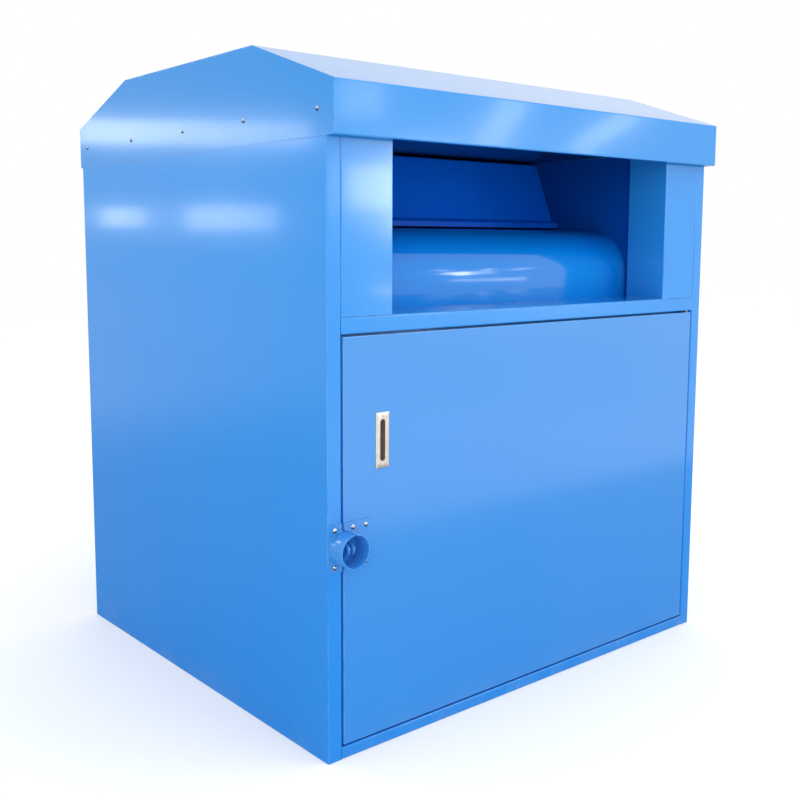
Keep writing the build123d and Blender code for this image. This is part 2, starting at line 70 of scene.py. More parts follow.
class Value:
    """A number or colour on a shader socket; arithmetic on it adds Math nodes."""

    def __init__(self, graph: "Graph", socket: bpy.types.NodeSocket) -> None:
        """Wrap a socket.

        Args:
            graph: The node tree that holds the socket.
            socket: The output socket that carries the value.
        """
        self.graph = graph
        self.socket = socket

    def __add__(self, other: "Value | float") -> "Value":
        """Return self + other."""
        return self.graph.maths("ADD", self, other)

    def __radd__(self, other: float) -> "Value":
        """Return other + self."""
        return self.graph.maths("ADD", other, self)

    def __sub__(self, other: "Value | float") -> "Value":
        """Return self - other."""
        return self.graph.maths("SUBTRACT", self, other)

    def __rsub__(self, other: float) -> "Value":
        """Return other - self."""
        return self.graph.maths("SUBTRACT", other, self)

    def __mul__(self, other: "Value | float") -> "Value":
        """Return self * other."""
        return self.graph.maths("MULTIPLY", self, other)

    def __abs__(self) -> "Value":
        """Return the size of the value without its sign."""
        return self.graph.maths("ABSOLUTE", self)

    def least(self, other: "Value | float") -> "Value":
        """Return the smaller of self and other."""
        return self.graph.maths("MINIMUM", self, other)

    def most(self, other: "Value | float") -> "Value":
        """Return the larger of self and other."""
        return self.graph.maths("MAXIMUM", self, other)

    def rise(self, low: float, high: float) -> "Value":
        """Return a smooth step.

        Args:
            low: The value at which the step is still 0.
            high: The value at which the step has reached 1.

        Returns:
            The step, from 0 to 1.
        """
        node = self.graph.node(
            "ShaderNodeMapRange",
            {"interpolation_type": "SMOOTHSTEP"},
            {"Value": self, "From Min": low, "From Max": high},
        )
        return Value(self.graph, node.outputs["Result"])


class Graph:
    """The node tree of one material."""

    def __init__(self, tree: bpy.types.NodeTree) -> None:
        """Empty a node tree and take it over.

        Args:
            tree: The node tree to build in.
        """
        self.tree = tree
        self.tree.nodes.clear()

    def node(
        self,
        kind: str,
        settings: dict[str, Any] | None = None,
        inputs: dict[str | int, Any] | None = None,
    ) -> bpy.types.Node:
        """Add one node.

        Args:
            kind: The node's type name.
            settings: Properties of the node, set before its sockets.
            inputs: A number, a colour or a Value for each input, by name or index.

        Returns:
            The new node.
        """
        made = self.tree.nodes.new(kind)
        for name, setting in (settings or {}).items():
            setattr(made, name, setting)
        for name, given in (inputs or {}).items():
            if isinstance(given, Value):
                self.tree.links.new(given.socket, made.inputs[name])
            elif isinstance(given, tuple) and made.inputs[name].type == "RGBA":
                made.inputs[name].default_value = (*given[:3], 1.0)
            else:
                made.inputs[name].default_value = given
        return made

    def read(self, kind: str, output: str) -> Value:
        """Return one output of a node that takes no inputs."""
        return Value(self, self.node(kind).outputs[output])

    def surface(self, shader: str, inputs: dict[str | int, Any], end: str) -> None:
        """Add a shader and link it to the end of the tree.

        Args:
            shader: The shader's type name.
            inputs: A number, a colour or a Value for each of its inputs.
            end: The type name of the output node.
        """
        made = self.node(shader, inputs=inputs)
        self.node(end, inputs={0: Value(self, made.outputs[0])})

    def maths(self, operation: str, *terms: "Value | float") -> Value:
        """Add a Math node.

        Args:
            operation: The node's operation.
            *terms: Its operands.

        Returns:
            The result.
        """
        node = self.node(
            "ShaderNodeMath", {"operation": operation}, dict(enumerate(terms))
        )
        return Value(self, node.outputs[0])

    def blend(
        self, share: "Value | float", start: "Value | Colour", end: "Value | Colour"
    ) -> Value:
        """Mix two colours.

        Args:
            share: How much of the end colour there is, from 0 to 1.
            start: The colour at a share of 0.
            end: The colour at a share of 1.

        Returns:
            The mixed colour.
        """
        node = self.node(
            "ShaderNodeMix", {"data_type": "RGBA"}, {0: share, 6: start, 7: end}
        )
        return Value(self, node.outputs[2])

    def place(self, stretch: Point = (1.0, 1.0, 1.0)) -> Value:
        """Return object coordinates, in metres.

        Args:
            stretch: The scale of the pattern along each axis.

        Returns:
            The coordinates as a vector.
        """
        here = self.read("ShaderNodeTexCoord", "Object")
        if stretch == (1.0, 1.0, 1.0):
            return here
        node = self.node("ShaderNodeMapping", inputs={"Vector": here, "Scale": stretch})
        return Value(self, node.outputs[0])

    def axes(self, where: Value) -> tuple[Value, Value, Value]:
        """Split a vector.

        Args:
            where: The vector.

        Returns:
            Its three parts.
        """
        node = self.node("ShaderNodeSeparateXYZ", inputs={0: where})
        return tuple(Value(self, socket) for socket in node.outputs)

    def noise(self, where: Value, scale: float, detail: float = 2.0) -> Value:
        """Add soft noise, from 0 to 1.

        Args:
            where: The coordinates that it follows.
            scale: How many features there are in a metre.
            detail: How many finer layers it has.

        Returns:
            The noise.
        """
        node = self.node(
            "ShaderNodeTexNoise", inputs={"Vector": where, "Scale": scale, "Detail": detail}
        )
        return Value(self, node.outputs[0])

    def relief(self, height: Value, depth: float) -> Value:
        """Turn a height into a bent normal.

        Args:
            height: The height, from 0 to 1.
            depth: How many metres a height of 1 is.

        Returns:
            The normal.
        """
        node = self.node(
            "ShaderNodeBump", inputs={"Height": height, "Distance": depth, "Strength": 1.0}
        )
        return Value(self, node.outputs[0])


# ----------------------------------------
# Finishes
# ----------------------------------------


@dataclass(frozen=True)
class Finish:
    """What one kind of surface looks like."""

    name: str

    def shade(self, graph: Graph, low: Vector, high: Vector) -> dict[str, Any]:
        """Work out the surface of a piece.

        Args:
            graph: The node tree to build in.
            low: The lowest corner of the piece.
            high: The highest corner of the piece.

        Returns:
            The inputs of the surface's shader.
        """
        raise NotImplementedError

    def dress(self, piece: bpy.types.Object) -> None:
        """Give a piece its own material in this finish.

        Args:
            piece: The object to dress.
        """
        corners = [vertex.co for vertex in piece.data.vertices]
        low = Vector(min(point[axis] for point in corners) for axis in range(3))
        high = Vector(max(point[axis] for point in corners) for axis in range(3))
        material = bpy.data.materials.new(f"{self.name}.{piece.name}")
        material.use_nodes = True
        graph = Graph(material.node_tree)
        inputs = self.shade(graph, low, high)
        graph.surface("ShaderNodeBsdfPrincipled", inputs, "ShaderNodeOutputMaterial")
        if not piece.material_slots:
            piece.data.materials.append(material)
        for slot in piece.material_slots:
            slot.material = material


@dataclass(frozen=True)
class PowderCoat(Finish):
    """Glossy baked powder paint on sheet steel.

    It goes from deep to pale over a span of heights, a painted reflection of the sky
    and the ground that the glossy sheet mirrors; it is lighter along folds and cut edges,
    partly thin film and partly a painted highlight on the bends, and gathers a little
    dust near the ground.
    """

    # The deep and pale colours are the two ends of the painted reflection that runs with height.
    deep: Colour = (0.010, 0.240, 0.735)
    pale: Colour = (0.026, 0.286, 0.765)
    gloss: float = 0.13
    peel: float = 0.000004
    wave: float = 0.0016
    # Sheet edges are lightened, partly thin film rubbed through and partly a painted highlight
    # on the folds.
    edge_width: float = 0.0035
    edge_share: float = 0.55
    bare_and_highlight: Colour = (0.30, 0.55, 0.95)
    bare_and_highlight_share: float = 0.45
    dust_height: float = 0.11
    dust_share: float = 0.14
    dust_tone: Colour = (0.34, 0.42, 0.52)
    # Heights over which the painted reflection runs from the deep to the pale colour.
    painted_light_heights: tuple[float, float] = (0.15, 1.45)
    refraction: float = 1.5
    lacquer: float = 0.30
    lacquer_rough: float = 0.07
    film_scale: float = 1.1
    grain_scale: float = 55.0
    wear_scale: float = 26.0
    dust_scale: float = 9.0
    peel_scale: float = 330.0
    wave_scale: float = 2.3

    def edge(self, graph: Graph, low: Vector, high: Vector) -> Value:
        """Find how near the folded and cut edges of its sheet a point is.

        Args:
            graph: The node tree to build in.
            low: The lowest corner of the piece.
            high: The highest corner of the piece.

        Returns:
            A mask that is 1 where two sides of the piece's box meet.
        """
        parts = graph.axes(graph.place())
        inside = []
        for axis, part in enumerate(parts):
            middle = (low[axis] + high[axis]) / 2
            inside.append((high[axis] - low[axis]) / 2 - abs(part - middle))
        first, second, third = inside
        between = first.least(second).most(first.most(second).least(third))
        return 1.0 - between.rise(0.0, self.edge_width)

    def shade(self, graph: Graph, low: Vector, high: Vector) -> dict[str, Any]:
        """Work out the paint.

        Args:
            graph: The node tree to build in.
            low: The lowest corner of the piece.
            high: The highest corner of the piece.

        Returns:
            The inputs of the surface's shader.
        """
        here = graph.place()
        height = graph.axes(here)[2]
        film = graph.noise(here, self.film_scale, 3.0)
        grain = graph.noise(here, self.grain_scale, 3.0)
        # Painted reflection: the colour runs from deep to pale with height, mixed with a random
        # film tone.
        painted_light_and_film = height.rise(*self.painted_light_heights) * 0.75 + film * 0.35 - 0.1
        colour = graph.blend(painted_light_and_film, self.deep, self.pale)
        # Edges lighter: partly wear, partly a painted highlight along folds and cut edges.
        rub_and_highlight_breakup = graph.noise(here, self.wear_scale, 4.0).rise(0.35, 0.62)
        worn_and_highlit = self.edge(graph, low, high) * rub_and_highlight_breakup
        thin_film_and_highlight = tuple(
            (1.0 - self.bare_and_highlight_share) * paint + self.bare_and_highlight_share * light
            for paint, light in zip(self.pale, self.bare_and_highlight)
        )
        colour = graph.blend(worn_and_highlit * self.edge_share, colour, thin_film_and_highlight)
        settled = graph.noise(here, self.dust_scale, 5.0).rise(0.30, 0.90)
        dust = (1.0 - height.rise(0.0, self.dust_height)) * settled
        colour = graph.blend(dust * self.dust_share, colour, self.dust_tone)
        skin = graph.noise(here, self.peel_scale, 1.0)
        sheet = graph.noise(here, self.wave_scale, 1.0)
        bumps = skin * (self.peel / self.wave) + sheet
        return {
            "Base Color": colour,
            "Roughness": self.gloss + grain * 0.05 + dust * 0.20 + worn_and_highlit * 0.08,
            "IOR": self.refraction,
            "Coat Weight": self.lacquer,
            "Coat Roughness": self.lacquer_rough,
            "Normal": graph.relief(bumps, self.wave),
        }


@dataclass(frozen=True)
class BareMetal(Finish):
    """Uncoated metal with a fine drawn grain, and painted shade on what faces down."""

    colour: Colour = (0.78, 0.79, 0.80)
    dull: Colour = (0.50, 0.51, 0.53)
    rough: float = 0.24
    grain: Point = (1.0, 1.0, 1.0)
    grain_scale: float = 600.0
    grain_depth: float = 0.00001
    underside_shade: float = 0.0
    underside_shade_tone: Colour = (0.03, 0.03, 0.035)
    stain_scale: float = 70.0

    def shade(self, graph: Graph, low: Vector, high: Vector) -> dict[str, Any]:
        """Work out the metal.

        Args:
            graph: The node tree to build in.
            low: The lowest corner of the piece.
            high: The highest corner of the piece.

        Returns:
            The inputs of the surface's shader.
        """
        here = graph.place()
        drawn = graph.noise(graph.place(stretch=self.grain), self.grain_scale, 3.0)
        stain = graph.noise(here, self.stain_scale, 4.0)
        metal = graph.blend(stain.rise(0.40, 0.78), self.colour, self.dull)
        # Painted shade: faces that turn downwards are darkened towards a near-black tone.
        if self.underside_shade > 0.0:
            facing = graph.read("ShaderNodeTexCoord", "Normal")
            under = (0.0 - graph.axes(facing)[2]).rise(-0.10, 0.45)
            metal = graph.blend(under * self.underside_shade, metal, self.underside_shade_tone)
        return {
            "Base Color": metal,
            "Metallic": 1.0,
            "Roughness": self.rough + drawn * 0.14 + stain * 0.10,
            "Normal": graph.relief(drawn, self.grain_depth),
        }


@dataclass(frozen=True)
class PressedPull(BareMetal):
    """Brushed metal whose pocket is painted dark and dull: painted shade inside it."""

    pocket_shade: Colour = (0.17, 0.135, 0.12)
    pocket_width: float = 0.0092
    pocket_start: float = 0.0016
    start_blend: float = 0.0006
    side_blend: float = 0.0004

    def shade(self, graph: Graph, low: Vector, high: Vector) -> dict[str, Any]:
        """Work out the plate and its pocket.

        Args:
            graph: The node tree to build in.
            low: The lowest corner of the piece.
            high: The highest corner of the piece.

        Returns:
            The inputs of the surface's shader.
        """
        surface = super().shade(graph, low, high)
        across, inward, _ = graph.axes(graph.place())
        beside = abs(across - (low.x + high.x) / 2)
        # Painted shade: inside the pocket the metal turns dark, dull and less metallic.
        deep = (inward - low.y).rise(self.pocket_start, self.pocket_start + self.start_blend)
        aside = beside.rise(self.pocket_width, self.pocket_width + self.side_blend)
        pocket_shaded = deep * (1.0 - aside)
        surface["Base Color"] = graph.blend(pocket_shaded, surface["Base Color"], self.pocket_shade)
        surface["Metallic"] = 1.0 - pocket_shaded
        surface["Roughness"] = surface["Roughness"] + pocket_shaded * 0.2
        return surface


@dataclass(frozen=True)
class Moulded(Finish):
    """Moulded rubber or nylon with a faint sparked texture."""

    colour: Colour = (0.80, 0.80, 0.76)
    shadow: Colour = (0.62, 0.61, 0.56)
    rough: float = 0.5
    speck_scale: float = 900.0
    speck_depth: float = 0.00003
    cloud_scale: float = 45.0

    def shade(self, graph: Graph, low: Vector, high: Vector) -> dict[str, Any]:
        """Work out the moulding.

        Args:
            graph: The node tree to build in.
            low: The lowest corner of the piece.
            high: The highest corner of the piece.

        Returns:
            The inputs of the surface's shader.
        """
        here = graph.place()
        spark = graph.noise(here, self.speck_scale, 2.0)
        cloud = graph.noise(here, self.cloud_scale, 3.0)
        return {
            "Base Color": graph.blend(cloud, self.colour, self.shadow),
            "Roughness": self.rough + spark * 0.15,
            "Normal": graph.relief(spark, self.speck_depth),
        }


class Coat(Enum):
    """The finishes that the drop box is made in."""

    CABINET = PowderCoat("cabinet_paint")
    ROOF = PowderCoat("roof_paint", deep=(0.010, 0.24, 0.72), pale=(0.026, 0.275, 0.72))
    # The door runs from a deep lower colour to a paler upper one: painted reflection of the sky
    # and the darker ground.
    DOOR = PowderCoat("door_paint", deep=(0.028, 0.246, 0.71), pale=(0.070, 0.298, 0.70))
    GUARD = PowderCoat(
        "guard_paint", deep=(0.028, 0.246, 0.71), pale=(0.070, 0.298, 0.70), wave=0.0004,
        edge_width=0.0012,
    )
    # The chute's inside: the cabinet paint made much darker, painted shade for the recess, with
    # a duller gloss.
    CHUTE_SHADED = PowderCoat(
        "cabinet_paint", deep=(0.000, 0.055, 0.32), pale=(0.001, 0.080, 0.42), wave=0.0008,
        refraction=1.35, lacquer=0.10,
    )
    # The chute ceiling: the cabinet paint made near black, painted shade under the roof.
    CEILING = PowderCoat(
        "cabinet_paint", deep=(0.001, 0.010, 0.040), pale=(0.001, 0.016, 0.060), gloss=0.30
    )
    # The sill's colour changes over its bull-nose, a painted reflection: the rounded top mirrors
    # the dark ceiling and is darker than the front.
    SILL = PowderCoat(
        "cabinet_paint", deep=(0.001, 0.280, 0.83), pale=(0.001, 0.175, 0.80), wave=0.0006,
        gloss=0.10, painted_light_heights=(1.15, 1.29),
    )
    FLAP = PowderCoat(
        "flap_paint", deep=(0.000, 0.130, 0.90), pale=(0.001, 0.165, 0.98), wave=0.0010,
        edge_share=0.08, gloss=0.38, refraction=1.2, lacquer=0.0,
    )
    # Rivet domes are darkened underneath: painted shade.
    RIVET = BareMetal("rivet_metal", colour=(0.74, 0.75, 0.76), rough=0.10, underside_shade=0.9)
    PULL = PressedPull(
        "handle_metal",
        colour=(0.80, 0.74, 0.65),
        dull=(0.68, 0.62, 0.53),
        rough=0.26,
        grain=(1.0, 1.0, 0.03),
        grain_scale=1400.0,
    )
    SCREW = BareMetal("screw_steel", colour=(0.74, 0.69, 0.61), dull=(0.52, 0.48, 0.42))
    # Pivot steel made dark so that the pins in the shaded door gap show no glint: painted shade.
    PIVOT = BareMetal("pivot_steel", colour=(0.30, 0.30, 0.31), dull=(0.20, 0.20, 0.19))
    BUSH = Moulded("bush_plastic", colour=(0.030, 0.030, 0.033), shadow=(0.055, 0.055, 0.058))
    RUBBER = Moulded(
        "stop_rubber", colour=(0.025, 0.025, 0.026), shadow=(0.05, 0.05, 0.05), rough=0.62
    )


COAT_WORDS = (
    ("rivets", Coat.RIVET),
    ("screws", Coat.SCREW),
    ("pull_handle", Coat.PULL),
    ("bush", Coat.BUSH),
    ("washer", Coat.BUSH),
    ("bumpers", Coat.RUBBER),
    ("rests", Coat.RUBBER),
    ("pins", Coat.PIVOT),
    ("rod", Coat.PIVOT),
    ("roof", Coat.ROOF),
    ("guard", Coat.GUARD),
    ("padlock", Coat.GUARD),
    ("door", Coat.DOOR),
    ("chute_ceiling", Coat.CEILING),
    ("chute_sill", Coat.SILL),
    ("chute", Coat.CHUTE_SHADED),
    ("flap", Coat.FLAP),
)


# ----------------------------------------
# Studio
# ----------------------------------------


@dataclass(frozen=True)
class Softbox:
    """One rectangular studio light that faces the drop box."""

    name: str
    centre: Point
    towards: Point
    width: float
    height: float
    radiance: float
    lean: float = 0.0

    def hang(self) -> bpy.types.Object:
        """Make the light.

        Returns:
            The light's object.
        """
        lamp = bpy.data.lights.new(self.name, "AREA")
        lamp.shape = "RECTANGLE"
        lamp.size = self.width
        lamp.size_y = self.height
        lamp.energy = self.radiance * math.pi * self.width * self.height
        light = bpy.data.objects.new(self.name, lamp)
        bpy.context.scene.collection.objects.link(light)
        aim = Vector(self.towards) - Vector(self.centre)
        turn = aim.to_track_quat("-Z", "Y").to_matrix().to_4x4()
        light.matrix_world = (
            Matrix.Translation(self.centre) @ turn @ Matrix.Rotation(self.lean, 4, "Z")
        )
        light.visible_camera = False
        return light


@dataclass
class Studio:
    """Camera, floor, sky and lights round the drop box.

    Each softbox stands where a glossy panel mirrors it towards the camera: the window
    band on the gable, the bars on the fascia, the panes on the left filler panel and
    the mouth lights on the sill.
    """

    eye: Point = (-2.1624, -2.5391, 1.2557)
    yaw: float = math.radians(-39.048)
    tilt: float = math.radians(83.306)
    lens: float = 45.944
    shift: tuple[float, float] = (0.0434, -0.0449)
    sky_from: Point = (0.35, -0.87, 0.25)
    sky_range: tuple[float, float] = (-1.0, -0.1)
    sky_dim: Colour = (0.61, 0.66, 0.73)
    sky_bright: Colour = (0.97, 0.97, 0.97)
    floor_size: float = 60.0
    floor_level: float = -0.0005
    floor_glow: float = 0.14
    floor_pale: Colour = (0.90, 0.90, 0.90)
    floor_white: Colour = (0.93, 0.93, 0.93)
    dark_tone: Colour = (0.26, 0.27, 0.29)
    dark_edge: tuple[float, float] = (2.05, 2.30)
    side_edge: tuple[float, float] = (2.5, 6.0)
    side_share: float = 0.6
    lights: tuple[Softbox, ...] = (
        Softbox("overhead", (0.6, -1.4, 5.2), (0.0, -0.2, 0.9), 4.0, 4.0, 1.2),
        Softbox("window_band", (-3.72, 5.12, 2.18), (-0.75, 0.0, 1.58), 1.95, 0.20, 4.5),
        Softbox("window_low", (-3.90, 4.87, 1.475), (-0.75, -0.2, 1.33), 0.75, 0.20, 4.0),
        Softbox("window_far", (-3.37, 5.78, 1.49), (-0.75, 0.38, 1.34), 0.36, 0.16, 4.5),
        Softbox("bar_near", (4.10, -4.80, 2.25), (-0.2, -0.69, 1.56), 0.21, 0.50, 6.0, -0.61),
        Softbox("bar_far", (4.90, -4.37, 2.19), (0.2, -0.69, 1.56), 0.15, 0.60, 6.0, -1.01),
        Softbox("pane_high", (3.05, -5.32, 2.41), (-0.67, -0.69, 1.59), 0.35, 0.30, 4.0),
        Softbox("pane_low", (3.18, -5.30, 1.72), (-0.62, -0.66, 1.39), 0.36, 0.34, 10.0),
        Softbox("key", (-3.4, -3.6, 2.2), (-0.4, -0.6, 0.6), 1.6, 1.6, 3.0),
        Softbox("skylight_left", (-3.3, 3.9, 3.5), (-0.74, -0.69, 0.535), 1.2, 0.8, 5.0),
        Softbox("mouth_window", (3.04, -4.6, 1.62), (-0.3, -0.4, 1.25), 0.32, 0.62, 13.0),
        Softbox("mouth_fade", (3.55, -4.6, 1.66), (-0.3, -0.4, 1.25), 0.70, 0.50, 3.0),
        Softbox("mouth_strip", (4.05, -4.8, 0.86), (0.0, -0.4, 1.25), 1.9, 0.07, 9.0),
    )

    def camera(self) -> bpy.types.Object:
        """Set up the camera.

        Returns:
            The camera's object.
        """
        optics = bpy.data.cameras.new("camera")
        optics.sensor_width = 36.0
        optics.lens = self.lens
        optics.shift_x, optics.shift_y = self.shift
        camera = bpy.data.objects.new("camera", optics)
        camera.location = self.eye
        camera.rotation_euler = (self.tilt, 0.0, self.yaw)
        bpy.context.scene.collection.objects.link(camera)
        bpy.context.scene.camera = camera
        return camera

    def sky(self) -> None:
        """Light the scene with a soft white sky that is brighter to the front right."""
        world = bpy.data.worlds.new("studio_sky")
        bpy.context.scene.world = world
        world.use_nodes = True
        graph = Graph(world.node_tree)
        right, back, up = graph.axes(graph.read("ShaderNodeTexCoord", "Generated"))
        facing = right * self.sky_from[0] + back * self.sky_from[1] + up * self.sky_from[2]
        glow = graph.blend(facing.rise(*self.sky_range), self.sky_dim, self.sky_bright)
        seen = graph.read("ShaderNodeLightPath", "Is Camera Ray")
        colour = graph.blend(seen, glow, (1.0, 1.0, 1.0))
        inputs = {"Color": colour, "Strength": 1.0}
        graph.surface("ShaderNodeBackground", inputs, "ShaderNodeOutputWorld")

    def floor(self) -> bpy.types.Object:
        """Lay the plain pale floor, which the glossy paint sees darker close by.

        Returns:
            The floor's object.
        """
        bpy.ops.mesh.primitive_plane_add(
            size=self.floor_size, location=(0.0, 0.0, self.floor_level)
        )
        floor = bpy.context.object
        floor.name = "studio_floor"
        material = bpy.data.materials.new("pale_floor")
        material.use_nodes = True
        graph = Graph(material.node_tree)
        across, along, _ = graph.axes(graph.place())
        ahead = (0.0 - along).rise(*self.dark_edge)
        aside = abs(across).most(along).rise(*self.side_edge) * self.side_share
        away = ahead.most(aside)
        mirrored = graph.read("ShaderNodeLightPath", "Is Glossy Ray")
        share = (1.0 - mirrored).most(away)
        tone = graph.noise(graph.place(), 0.8, 2.0)
        pale = graph.blend(tone, self.floor_pale, self.floor_white)
        inputs = {
            "Base Color": graph.blend(share, self.dark_tone, pale),
            "Roughness": 0.8,
            "Specular IOR Level": 0.1,
            "Emission Color": graph.blend(share, self.dark_tone, (1.0, 1.0, 1.0)),
            "Emission Strength": self.floor_glow,
        }
        graph.surface("ShaderNodeBsdfPrincipled", inputs, "ShaderNodeOutputMaterial")
        floor.data.materials.append(material)
        return floor

    def build(self) -> None:
        """Set up everything that is not part of the drop box."""
        self.camera()
        self.sky()
        self.floor()
        for softbox in self.lights:
            softbox.hang()
        look = bpy.context.scene.view_settings
        look.view_transform = "Standard"
        look.look = "None"
        LOG.info("studio: camera, sky, floor and %d lights", len(self.lights))


# ----------------------------------------
# Workbench
# ----------------------------------------


def clear_selection() -> None:
    """Leave nothing selected, so that an operator acts only on its own piece."""
    for thing in bpy.context.selected_objects:
        thing.select_set(False)
    bpy.context.view_layer.objects.active = None


class Pick(Enum):
    """What Workpiece.pick selects."""

    FACES = "FACE"
    EDGES = "EDGE"
    RIMS = "EDGE_RIM"
    CORNERS = "VERT"


class Workpiece:
    """One mesh on the bench, shaped with the modelling operators."""

    def __init__(self, name: str, add: Callable[..., Any], **stock: Any) -> None:
        """Start a piece from a primitive.

        Args:
            name: The piece's name.
            add: The operator that adds the primitive.
            **stock: The primitive's size and place.
        """
        clear_selection()
        add(**stock)
        self.piece = bpy.context.object
        self.piece.name = name
        self.piece.data.name = name
        self.settle()

    def alone(self) -> None:
        """Select this piece and nothing else."""
        clear_selection()
        self.piece.select_set(True)
        bpy.context.view_layer.objects.active = self.piece

    def settle(self) -> None:
        """Put the piece's place, turn and size into its mesh."""
        self.alone()
        bpy.ops.object.transform_apply(location=True, rotation=True, scale=True)

    @contextmanager
    def editing(self) -> Iterator[None]:
        """Open the piece in edit mode with nothing selected."""
        self.alone()
        bpy.ops.object.mode_set(mode="EDIT")
        bpy.ops.mesh.select_all(action="DESELECT")
        yield
        bpy.ops.object.mode_set(mode="OBJECT")

    def pick(self, kind: Pick, test: Callable[[Vector, Vector], bool]) -> None:
        """Select faces, edges or corners by their place.

        Args:
            kind: What to select.
            test: Told the middle of each one and its normal, or an edge's
                direction; returns whether it is selected.
        """
        bpy.ops.mesh.select_mode(type="EDGE" if kind is Pick.RIMS else kind.value)
        bpy.ops.mesh.select_all(action="DESELECT")
        shape = bmesh.from_edit_mesh(self.piece.data)
        if kind is Pick.FACES:
            for face in shape.faces:
                face.select_set(test(face.calc_center_median(), face.normal))
        elif kind is Pick.CORNERS:
            for corner in shape.verts:
                corner.select_set(test(corner.co, corner.normal))
        else:
            for edge in shape.edges:
                if kind is Pick.RIMS and not edge.is_boundary:
                    continue
                start, end = (corner.co for corner in edge.verts)
                edge.select_set(test((start + end) / 2, (end - start).normalized()))
        shape.select_flush_mode()
        bmesh.update_edit_mesh(self.piece.data)

    def extrude_rim(self, by: Point) -> None:
        """Extrude the selected edges by a move."""
        bpy.ops.mesh.extrude_edges_move(TRANSFORM_OT_translate={"value": by})

    def slide(self, by: Point) -> None:
        """Move what is selected."""
        bpy.ops.transform.translate(value=by)

    def resize(self, by: Point, about: Point) -> None:
        """Scale what is selected about a point."""
        bpy.ops.transform.resize(value=by, center_override=about)

    def inset(self, width: float, depth: float = 0.0) -> None:
        """Inset the selected faces, and raise them by a depth."""
        bpy.ops.mesh.inset(thickness=width, depth=depth, use_even_offset=True)

    def bevel(self, width: float, segments: int = 2) -> None:
        """Round the selected edges."""
        bpy.ops.mesh.bevel(offset=width, segments=segments, affect="EDGES")

    def cut(self, at: Point, facing: Point) -> None:
        """Bisect the whole piece and drop the part on the side that is faced."""
        bpy.ops.mesh.select_all(action="SELECT")
        bpy.ops.mesh.bisect(plane_co=at, plane_no=facing, clear_outer=True)

    def true_up(self) -> None:
        """Merge doubles and turn the normals outwards."""
        with self.editing():
            bpy.ops.mesh.select_all(action="SELECT")
            bpy.ops.mesh.remove_doubles(threshold=0.00001)
            bpy.ops.mesh.normals_make_consistent(inside=False)

    def aim(self, towards: Point) -> None:
        """Turn an open sheet's normals over if they face the wrong way.

        Args:
            towards: The direction that they have to face.
        """
        facing = sum((f.normal * f.area for f in self.piece.data.polygons), Vector())
        if facing.dot(Vector(towards)) < 0.0:
            with self.editing():
                bpy.ops.mesh.select_all(action="SELECT")
                bpy.ops.mesh.flip_normals()

    def apply(self, kind: str, **settings: Any) -> None:
        """Add a modifier and apply it.

        Args:
            kind: The modifier's type.
            **settings: Its properties.
        """
        self.alone()
        modifier = self.piece.modifiers.new(kind.lower(), kind)
        for name, setting in settings.items():
            setattr(modifier, name, setting)
        bpy.ops.object.modifier_apply(modifier=modifier.name)

    def wall(self, thickness: float) -> None:
        """Give an open sheet its thickness, inwards from its outer face."""
        self.apply("SOLIDIFY", thickness=thickness, offset=-1.0, use_even_offset=True)

    def ease(self, width: float, segments: int = 2, limit: float = 40.0) -> None:
        """Break every sharp edge.

        Args:
            width: The size of the broken edge.
            segments: How many facets it has.
            limit: The sharpest angle that is left, in degrees.
        """
        self.apply(
            "BEVEL",
            width=width,
            segments=segments,
            limit_method="ANGLE",
            angle_limit=math.radians(limit),
        )

    def smooth(self, limit: float = 35.0) -> None:
        """Shade smoothly across angles up to a limit in degrees."""
        self.alone()
        bpy.ops.object.shade_smooth_by_angle(angle=math.radians(limit))

    def join(self, others: Sequence["Workpiece"]) -> None:
        """Make other pieces part of this one.

        Args:
            others: The pieces, which are gone afterwards.
        """
        self.alone()
        for other in others:
            other.piece.select_set(True)
        bpy.ops.object.join()

    def copy(self, name: str, place: Matrix) -> "Workpiece":
        """Copy the piece with a mesh of its own.

        Args:
            name: The copy's name.
            place: Where the copy goes.

        Returns:
            The copy.
        """
        twin = Workpiece.__new__(Workpiece)
        mesh = self.piece.data.copy()
        mesh.transform(place)
        twin.piece = bpy.data.objects.new(name, mesh)
        bpy.context.scene.collection.objects.link(twin.piece)
        return twin

    def scrap(self) -> None:
        """Remove the piece from the scene."""
        bpy.data.objects.remove(self.piece)

    def install(self, body: str, coat: Coat, *nodes: str) -> None:
        """Dress the finished piece and fix it to its body.

        Args:
            body: The frame body that it moves with.
            coat: Its finish.
            *nodes: The frame nodes that it stands for.
        """
        coat.value.dress(self.piece)
        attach(self.piece, body)
        if nodes:
            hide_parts(*nodes)
        LOG.info("made %s: %d faces on %s", self.piece.name, len(self.piece.data.polygons), body)


# ----------------------------------------
# Sub-assemblies
# ----------------------------------------


@dataclass
class SheetWork:
    """Frame nodes whose own shape is kept and dressed."""

    coats: dict[str, Coat] = field(default_factory=dict)

    def dress(self) -> None:
        """Dress every kept node in its finish."""
        for node, coat in self.coats.items():
            coat.value.dress(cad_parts[node])
            LOG.info("dressed %s in %s", node, coat.value.name)


